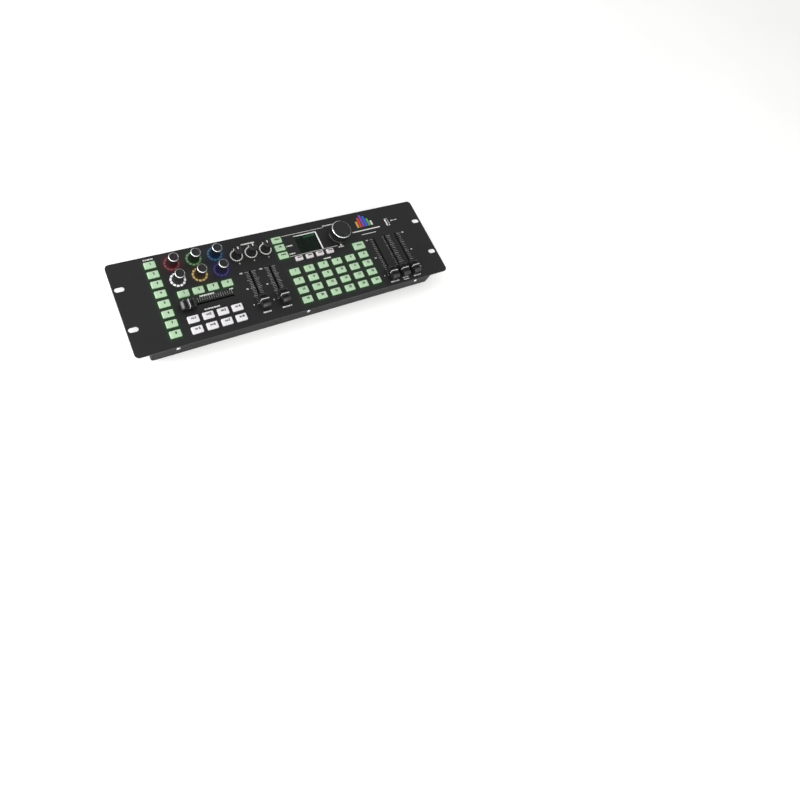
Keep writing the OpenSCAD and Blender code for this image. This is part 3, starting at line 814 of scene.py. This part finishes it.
# ---- Colour knobs and their lit collars ----
# Each knob is a fluted black cap with a turned aluminium ring let into its top, pressed on a shaft.
# Round it a ring of twelve frosted windows in a black bezel shows the channel's colour.
WELL_R = 7.6
COLLAR_TOP = spot("light_collars")[2]
BOARD_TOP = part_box("light_collars")[0].z / MM


def spin(work, profile, at, segments=72, flutes=0, depth=0.0, band=(0, 0)):
    """Turns a profile of (radius, height) pairs, foot to top, about an upright axis."""
    skin = work.skin
    layer = skin.loops.layers.uv.verify()
    rows = []
    along = [0.0]
    for (r0, z0), (r1, z1) in zip(profile, profile[1:]):
        along.append(along[-1] + math.hypot(r1 - r0, z1 - z0))
    for radius, height in profile:
        if radius == 0:
            rows.append(skin.verts.new((at[0], at[1], height)))
            continue
        row = []
        for i in range(segments):
            turn = 2 * math.pi * i / segments
            r = radius
            if flutes and band[0] <= height <= band[1]:
                r -= depth * (0.5 + 0.5 * math.cos(flutes * turn)) ** 2
            row.append(skin.verts.new((at[0] + r * math.cos(turn), at[1] + r * math.sin(turn), height)))
        rows.append(row)
    looped = profile[0][0] != 0
    pairs = list(zip(rows, rows[1:], along, along[1:]))
    if looped:
        closing = math.hypot(profile[0][0] - profile[-1][0], profile[0][1] - profile[-1][1])
        pairs.append((rows[-1], rows[0], along[-1], along[-1] + closing))
    for low, high, v0, v1 in pairs:
        for i in range(segments):
            j = (i + 1) % segments
            u0, u1 = i / segments, (i + 1) / segments
            if not isinstance(low, list):
                corners, uvs = (low, high[j], high[i]), ((u0, v0), (u1, v1), (u0, v1))
            elif not isinstance(high, list):
                corners, uvs = (low[i], low[j], high), ((u0, v0), (u1, v0), (u0, v1))
            else:
                corners = (low[i], low[j], high[j], high[i])
                uvs = ((u0, v0), (u1, v0), (u1, v1), (u0, v1))
            face = skin.faces.new(corners)
            for corner, uv in zip(face.loops, uvs):
                corner[layer].uv = (uv[0] * 40, uv[1])


knob_plastic = coat("knob_plastic", "0c0c0d", "151516", 0.4, 0.3, Specular_IOR_Level=0.34)
bezel_plastic = coat("bezel_plastic", "101011", "1a1a1b", 0.5, 0.3, Specular_IOR_Level=0.35,
                     Emission_Strength=0.3)
# painted light: each bezel is given its own collar's colour as a glow in its emission
collar_glow(bezel_plastic, *bezel_plastic.axes()[:2], 1.0, paint("000000"))
turned_metal = Finish("turned_aluminium", "e2e3e4", Metallic=1.0)
lathe = turned_metal.node("ShaderNodeTexNoise", sockets={
    "Vector": turned_metal.node("ShaderNodeMapping", sockets={
        "Vector": turned_metal.node("ShaderNodeUVMap", {"uv_map": "UVMap"}), "Scale": (0.06, 14, 1)}),
    "Scale": 1.0, "Detail": 3.0})
turned_metal.lead("Base Color", turned_metal.mixed(lathe, paint("a4a5a7"), paint("cccdce")))
turned_metal.lead("Roughness", 0.26 + 0.12 * lathe)
turned_metal.relief(lathe, 0.012)


def window_finish(name, colour, pale, power):
    """Frosted window over a lamp: the lamp's light is painted in as the window's own glow, clouded paler in
    patches.
    """
    made = Finish(name, pale, Specular_IOR_Level=0.35, Emission_Strength=power)
    cloud = made.noise(1.6, 3)
    tone = made.mixed(cloud, paint(colour), paint(pale))
    made.lead("Base Color", tone)
    made.lead("Emission Color", tone)
    made.lead("Roughness", 0.35 + 0.2 * cloud)
    made.relief(made.noise(0.3, 2), 0.01)
    return made


def lit_plastic(word):
    """The knob's black plastic, with a painted glow of its collar's light that fades upward from the foot.
    """
    made = coat(word + "_knob_plastic", "0c0c0d", "151516", 0.4, 0.3, Specular_IOR_Level=0.34,
                Emission_Strength=0.35)
    height = made.axes()[2]
    painted_glow = 0.5 ** ((height - PANEL_TOP).at_least(0) / 5) * (GLOW_SHARE[word] * 0.8)
    made.lead("Emission Color", made.mixed(painted_glow, paint("000000"), paint(COLOURS[word])))
    return made


# each window's colour, the paler colour clouded into it, and how strongly it is lit
WINDOWS = {"red": ("50282e", "784a50", 0.1), "green": ("4c6648", "809a7c", 0.14),
           "blue": ("203e54", "4a6c84", 0.12), "white": ("b8b8b8", "dcdcdc", 0.42),
           "amber": ("907c50", "b8a474", 0.24), "violet": ("261f4a", "413a6a", 0.12)}
collars = Work(bezel_plastic)
for word in COLOURS:
    name = word + "_knob"
    at = spot(name)
    spin(collars, [(3.7, BOARD_TOP + 9), (9.4, BOARD_TOP + 9), (9.4, BOARD_TOP), (COLLAR_R, BOARD_TOP),
                   (COLLAR_R, COLLAR_TOP - 0.45), (COLLAR_R - 0.12, COLLAR_TOP - 0.28),
                   (COLLAR_R - 0.35, COLLAR_TOP - 0.2), (WELL_R + 0.35, COLLAR_TOP - 0.2),
                   (WELL_R + 0.1, COLLAR_TOP - 0.3), (WELL_R, COLLAR_TOP - 0.5),
                   (WELL_R, COLLAR_TOP - 1.8), (3.7, COLLAR_TOP - 1.8)], at, 96)
    windows = Work(window_finish(word + "_window", *WINDOWS[word]))
    windows.arcs(Centre=(at[0], at[1], COLLAR_TOP - 0.3), Radius=9.06, Width=2.75, Height=0.6,
                 Corner=0.2, Count=12, Share=0.76, Turn=0.05)
    fitted(word + "_collar_windows", windows.mesh("windows", True), "desk", "collar_lens")
    cap = Work(lit_plastic(word))
    top = at[2]
    foot = PANEL_TOP - 0.2
    spin(cap, [(0, foot - 8.8), (3.0, foot - 8.8), (3.0, foot + 2.4), (4.0, foot + 2.4), (4.0, foot),
               (6.6, foot), (6.9, foot + 0.35), (6.9, foot + 0.9), (6.86, foot + 1.2), (6.74, top - 2.2),
               (6.7, top - 1.9), (6.6, top - 1.3), (6.3, top - 0.9), (5.6, top - 0.85), (5.3, top - 0.95),
               (2.5, top - 1.1), (0, top - 1.12)],
         at, 216, 36, 0.34, (foot + 1.0, top - 2.0))
    fitted(name + "_cap", cap.mesh(name, True), name, "knob_black", name)
    rim = Work(turned_metal)
    spin(rim, [(5.85, top - 1.0), (6.66, top - 1.4), (6.78, top - 1.32), (6.82, top - 1.1),
               (6.8, top - 0.95), (6.2, top - 0.09), (6.08, top), (5.88, top), (5.85, top - 0.03)], at, 96)
    fitted(name + "_rim", rim.mesh(name, True), name, "knob_black")
fitted("light_collar_bezels", collars.mesh("collars", True), "desk", "collar_lens", "light_collars")

# ---- Rate knobs ----
# Three small push-on knobs of black plastic, ribbed round the side for grip.
# Each has a moulded pointer filled with white paint, over the top and down the side.
white_paint = ink_finish("pointer_paint", "dcdcda", 0.1)
for i in (1, 2, 3):
    name = "rate_knob_%d" % i
    at = spot(name)
    top = at[2]
    foot = PANEL_TOP + 0.5
    cap = Work(knob_plastic)
    spin(cap, [(0, foot - 9.5), (3.0, foot - 9.5), (3.0, foot + 2.4), (4.2, foot + 2.4), (4.2, foot),
               (5.7, foot), (5.9, foot + 0.3), (5.88, foot + 1.3), (5.82, foot + 1.5), (5.42, top - 1.3),
               (5.34, top - 0.9), (5.1, top - 0.35), (4.6, top - 0.06), (4.2, top - 0.05),
               (3.9, top - 0.25), (0, top - 0.35)],
         at, 180, 30, 0.32, (foot + 1.4, top - 1.2))
    fitted(name + "_cap", cap.mesh(name, True), name, "knob_black", name)
    pointer = Work(white_paint)
    pointer.bars((at[0], at[1] + 3.6, top - 0.16), (1.1, 3.4, 0.3))
    for step in range(12):
        drop = step / 11
        pointer.bars((at[0], at[1] + 5.22 + 0.6 * drop, top - 1.0 - 11.4 * drop), (1.1, 0.5, 1.3))
    fitted(name + "_pointer", pointer.mesh(name), name, "knob_black")

# ---- Select knob ----
# A large push-on wheel: black cap over a low skirt, a turned aluminium ring round its top edge,
# and a finger dimple near the front of the face.
at = spot("select_knob")
top = at[2]
foot = PANEL_TOP + 0.6
DIMPLE_Y, DIMPLE_R, DIMPLE_LIFT = -8.6, 5.4, 3.4
face = top - 0.35
wheel = Work(knob_plastic)
spin(wheel, [(0, foot - 9.6), (3.0, foot - 9.6), (3.0, foot + 4), (5, foot + 4), (5, foot),
             (15.2, foot), (15.55, foot + 0.3), (15.6, foot + 0.7), (15.6, foot + 1.7), (15.52, foot + 1.9),
             (14.76, foot + 2.9), (14.6, foot + 3.0), (14.56, foot + 3.5), (14.5, top - 2.6),
             (14.5, top - 2.2), (14.3, top - 1.4), (14.12, top - 0.9), (14.0, face - 0.1)]
     + [(13.8 - 0.69 * i, face) for i in range(20)] + [(0, face)],
     at, 240, 60, 0.16, (foot + 3.2, top - 2.3))
for corner in wheel.skin.verts:
    if corner.co.z > top - 1.2:
        flat = math.hypot(corner.co.x - at[0], corner.co.y - at[1] - DIMPLE_Y)
        if flat < DIMPLE_R:
            corner.co.z = min(corner.co.z, top + DIMPLE_LIFT - math.sqrt(DIMPLE_R ** 2 - flat ** 2))
fitted("select_knob_wheel", wheel.mesh("wheel", True), "select_knob", "knob_black", "select_knob")
rim = Work(turned_metal)
spin(rim, [(14.05, top - 1.1), (14.6, top - 2.0), (14.86, top - 1.98), (14.98, top - 1.85),
           (15.0, top - 1.25), (14.95, top - 1.1), (14.22, top - 0.14), (14.12, top - 0.08),
           (14.05, top - 0.12)], at, 144)
fitted("select_knob_rim", rim.mesh("rim", True), "select_knob", "knob_black")

# ---- Faders ----
# Black moulded caps with ribbed finger scoops either side of a ridge, whose white line is painted
# over the top and down both sides; each rides on a flat steel lever that reaches down its slot.
CAP_W, CAP_L, CAP_H = 11.2, 20.5, 10.8
CAP_FOOT = PANEL_TOP + 1.2
LEVER = (1.4, 3.0)
LEVER_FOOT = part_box("lying_fader_cap")[0].z / MM
RIBS = 4
SIDE_EDGE = 0.28
LINE_HALF = 0.33
cap_plastic = coat("cap_plastic", "111112", "1d1d1e", 0.34, 0.35, Specular_IOR_Level=0.55)


def cap_side():
    """The cap's outline seen along its width: y and height, counterclockwise from the left foot."""
    half = CAP_L / 2
    right = [(half - 0.15, 0), (half, 0.2), (half - 0.15, CAP_H - 4.3), (half - 0.4, CAP_H - 3.8),
             (half - 2.9, CAP_H - 1.15), (half - 3.2, CAP_H - 0.95), (half - 3.6, CAP_H - 0.95)]
    start, stop = half - 3.7, 1.45
    steps = RIBS * 6
    for i in range(1, steps):
        share = i / steps
        sag = -1.0 - 1.5 * math.sin(math.pi * share)
        bump = 0.4 * math.cos(2 * math.pi * RIBS * share) - 0.4
        right.append((start + (stop - start) * share, CAP_H + sag + bump))
    right += [(1.25, CAP_H - 0.9), (1.0, CAP_H - 0.3), (0.72, CAP_H - 0.14), (0.33, CAP_H - 0.06)]
    return right + [(-y, h) for y, h in right[::-1]]


def fader_set(name, lying_down):
    """One cap with its lever and its white line."""
    at = spot(name)
    turn = Matrix.Translation((at[0], at[1], 0)) @ Matrix.Rotation(
        math.radians(-90 if lying_down else 0), 4, "Z")
    outline = cap_side()
    cap = Work(cap_plastic)
    rings = []
    for x, inset in ((-CAP_W / 2, SIDE_EDGE), (-CAP_W / 2 + 0.1, 0.1), (-CAP_W / 2 + SIDE_EDGE, 0),
                     (CAP_W / 2 - SIDE_EDGE, 0), (CAP_W / 2 - 0.1, 0.1), (CAP_W / 2, SIDE_EDGE)):
        across, up = 1 - inset / (CAP_L / 2), 1 - inset / (CAP_H / 2)
        rings.append([(x, y * across, CAP_FOOT + CAP_H / 2 + (h - CAP_H / 2) * up) for y, h in outline])
    loft(cap.skin, rings)
    bmesh.ops.recalc_face_normals(cap.skin, faces=cap.skin.faces)
    cap.bars((0, 0, (LEVER_FOOT + CAP_FOOT + 2) / 2), LEVER + (CAP_FOOT + 2 - LEVER_FOOT,))
    bmesh.ops.transform(cap.skin, matrix=turn, verts=cap.skin.verts)
    fitted(name + "_moulding", cap.mesh(name, True), name, "cap_black", name)
    stripe = Work(white_paint)
    side, roof, down = CAP_W / 2 + 0.02, CAP_FOOT + CAP_H, 6.5
    u_shape = [(-side, roof - down), (-side + 0.3, roof - down), (-side + 0.3, roof - 0.5),
               (side - 0.3, roof - 0.5), (side - 0.3, roof - down), (side, roof - down),
               (side, roof - 0.25), (side - 0.3, roof), (-side + 0.3, roof), (-side, roof - 0.25)]
    loft(stripe.skin, [[(x, y, z) for x, z in u_shape] for y in (LINE_HALF, -LINE_HALF)])
    bmesh.ops.recalc_face_normals(stripe.skin, faces=stripe.skin.faces)
    bmesh.ops.transform(stripe.skin, matrix=turn, verts=stripe.skin.verts)
    fitted(name + "_line", stripe.mesh(name), name, "cap_black")


fader_set("lying_fader_cap", True)
for name in ("left_fader_cap_1", "left_fader_cap_2", "right_fader_cap_1", "right_fader_cap_2",
             "right_fader_cap_3"):
    fader_set(name, False)

# ---- Display ----
# A small colour screen behind clear acrylic, sunk in a pale moulded lining that fills the cut-out.
# The screen is almost dark: dim green rows of plain blocks and one brighter header.
lining_plastic = Finish("lining_plastic", "dcdedc", Specular_IOR_Level=0.4)
LINING_LIP = (33.45, 33.6)
lining_tone = lining_plastic.mixed(lining_plastic.noise(6, 3), paint("d4d6d4"), paint("e6e8e6"))
lining_plastic.lead("Base Color", lining_plastic.mixed(
    lining_plastic.fade(lining_plastic.axes()[2], *LINING_LIP), lining_tone, paint("0d0d0e")))
lining_plastic.lead("Roughness", 0.4 + 0.12 * lining_plastic.noise(0.6))
lining_plastic.relief(lining_plastic.noise(0.4), 0.01)
fair_copy("display_lining", "display_module", lining_plastic, "display_frame", 0.12)
screen = Finish("screen_glass", "020303", Specular_IOR_Level=0.14, Emission_Strength=0.3)
corner_glow = screen.fade(screen.noise(14, 2), 0.35, 0.75)
screen.lead("Emission Color", screen.mixed(corner_glow, paint("000302"), paint("06210f")))
screen.lead("Roughness", 0.08 + 0.1 * screen.fade(screen.noise(9, 4), 0.5, 0.8))
fair_copy("display_glass", "display_cover", screen, "display_glass", 0.08)
low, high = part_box("display_cover")
left, right, near_y, far_y = low.x / MM, high.x / MM, low.y / MM, high.y / MM
level = high.z / MM + 0.01
lit_rows = Finish("lit_rows", "081a0e", Roughness=0.5, Specular_IOR_Level=0.1,
                  Emission_Strength=0.22)
row_noise = lit_rows.noise(2.2, 3)
lit_rows.lead("Emission Color", lit_rows.mixed(row_noise, paint("082614"), paint("1d5230")))
rows = Work(lit_rows)
for i in range(7):
    y = far_y - 7.4 - 3.3 * i
    rows.dashes(left + 1.6, left + 11, y, 1.3, level)
    rows.dashes(left + 16.4, left + 24, y, 1.3, level)
    rows.dashes(left + 26, right - 3, y, 1.3, level)
rows.bars((left + 14, (near_y + far_y) / 2, level), (0.5, far_y - near_y - 3, 0.03))
rows.bars(((left + right) / 2, far_y - 5.6, level), (right - left - 2, 0.35, 0.03))
fitted("display_rows", rows.mesh("rows"), "desk", "display_glass")
header = Finish("screen_header", "14301e", Roughness=0.5, Specular_IOR_Level=0.1,
                Emission_Strength=0.3)
header.lead("Emission Color", header.mixed(header.noise(2.5, 3), paint("18482a"), paint("2f6a44")))
head = Work(header)
head.bars((left + 25.5, far_y - 3.2, level), (19, 2.6, 0.04))
head.dashes(left + 1.6, left + 12, far_y - 3.2, 1.8, level)
fitted("display_header", head.mesh("head"), "desk", "display_glass")

# ---- USB socket ----
# An upright type A socket: a folded, nickel-plated shell round a white plastic tongue.
# It stands on the board, and its mouth comes up flush through the panel.
nickel = Finish("socket_nickel", "c8c9ca")
ux, uy = nickel.axes()[:2]
socket_at = spot("usb_socket")
MOUTH = (5.0, 12.4)
from_shell = (abs(ux - socket_at[0]) - MOUTH[0] / 2).at_least(abs(uy - socket_at[1]) - MOUTH[1] / 2)
inside = nickel.fade(from_shell, 0.0, -0.05)
nickel.lead("Metallic", 1 - inside)
plating = nickel.noise(1.2, 3)
nickel.lead("Base Color", nickel.mixed(inside, nickel.mixed(plating, paint("dadbdc"), paint("f0f0f0")),
                                       paint("e8e8e6")))
nickel.lead("Roughness", 0.22 + 0.12 * plating + 0.2 * inside)
nickel.relief(plating, 0.01)
fair_copy("usb_socket_shell", "usb_socket", nickel, "socket_nickel", 0.1)

# ---- Rear wall: sockets, inlet and power switch ----
# Two round three-contact sockets with die-cast flanges are screwed to the wall from outside.
# A moulded barrel inlet looks out through the wall, and a rocker switch snaps into its cut-out.
cast = Finish("socket_cast", "2a2a2c")
dx, dy, dz = cast.axes()
low, high = [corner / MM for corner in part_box("dmx_sockets")]
middle = (low + high) / 2
HALF_PITCH = 19.0
INSERT_R = 8.0
from_axis = ((abs(dx - middle.x) - HALF_PITCH) ** 2 + (dz - middle.z) ** 2) ** 0.5
insert = cast.fade(from_axis, INSERT_R + 0.1, INSERT_R - 0.05)
cast.lead("Metallic", 1 - insert)
grain = cast.noise(0.6, 3)
cast.lead("Base Color", cast.mixed(insert, cast.mixed(grain, paint("7c7e82"), paint("96989c")),
                                   paint("151516")))
cast.lead("Roughness", 0.34 + 0.14 * grain + 0.1 * insert)
cast.relief(grain, 0.02)
fair_copy("dmx_sockets_cast", "dmx_sockets", cast, "socket_nickel", 0.15)
black_plastic = coat("black_plastic", "121213", "1b1b1d", 0.38, 0.3, Specular_IOR_Level=0.45)
fair_copy("power_inlet_body", "power_inlet", black_plastic, "black_plastic", 0.15)
fair_copy("switch_frame", "switch_body", black_plastic, "black_plastic", 0.25)
rocker_plastic = coat("rocker_plastic", "161618", "222224", 0.3, 0.3, Specular_IOR_Level=0.5)
fair_copy("power_rocker_cap", "power_rocker", rocker_plastic, "rocker_black", 0.2, "power_rocker")

# ---- Floor, light and camera ----
# A plain pale floor, a bright even sky and five large soft lamps, two high up and three low.
# The camera stands over the front left corner and looks down along the desk.
floor_finish = Finish("pale_floor", "f2f2f0", Roughness=0.7, Specular_IOR_Level=0.2,
                      Emission_Color=(1, 1, 1, 1), Emission_Strength=0.14)
floor_finish.lead("Base Color", floor_finish.mixed(
    floor_finish.noise(260, 2), paint("f0f0ef"), paint("f7f7f6")))
floor_mesh = coated("floor", floor_finish)
floor_mesh.from_pydata([(-6, -6, 0), (6, -6, 0), (6, 6, 0), (-6, 6, 0)], [], [(0, 1, 2, 3)])
floor = bpy.data.objects.new("floor", floor_mesh)
bpy.context.scene.collection.objects.link(floor)

world = bpy.data.worlds.new("sky")
bpy.context.scene.world = world
world.use_nodes = True
sky = next(n for n in world.node_tree.nodes if n.type == "BACKGROUND")
sky.inputs["Color"].default_value = (1, 1, 1, 1)
sky.inputs["Strength"].default_value = 0.78


def lamp(name, place, aim, size, power):
    """A large soft lamp at place, turned to aim."""
    data = bpy.data.lights.new(name, "AREA")
    data.shape = "RECTANGLE"
    data.size, data.size_y = size
    data.energy = power
    made = bpy.data.objects.new(name, data)
    bpy.context.scene.collection.objects.link(made)
    toward = Vector(aim) - Vector(place)
    made.rotation_euler = toward.to_track_quat("-Z", "Y").to_euler()
    made.location = place


lamp("key_lamp", (-0.7, 0.6, 1.4), (0, 0, 0), (0.9, 0.9), 5)
lamp("fill_lamp", (0.9, -0.9, 1.1), (0, 0, 0), (1.2, 1.2), 4)
lamp("side_lamp", (-1.1, 0.35, 0.3), (-0.1, 0, 0.03), (0.9, 0.5), 14)
lamp("corner_lamp", (-0.95, -0.75, 0.42), (-0.1, 0, 0.03), (0.9, 0.4), 7)
lamp("front_lamp", (-0.15, -1.2, 0.4), (0, 0, 0.02), (1.2, 0.4), 5)

scene = bpy.context.scene
scene.view_settings.view_transform = "Standard"
scene.view_settings.look = "None"
camera_data = bpy.data.cameras.new("camera")
camera_data.sensor_width = 36.0
camera_data.lens = 32.809
camera_data.shift_x = 0.025
camera_data.shift_y = -0.21875
camera = bpy.data.objects.new("camera", camera_data)
camera.location = (-0.44267, -0.38810, 0.88357)
camera.rotation_euler = [math.radians(a) for a in (35.7938, -21.8605, -27.9290)]
scene.collection.objects.link(camera)
scene.camera = camera

import json
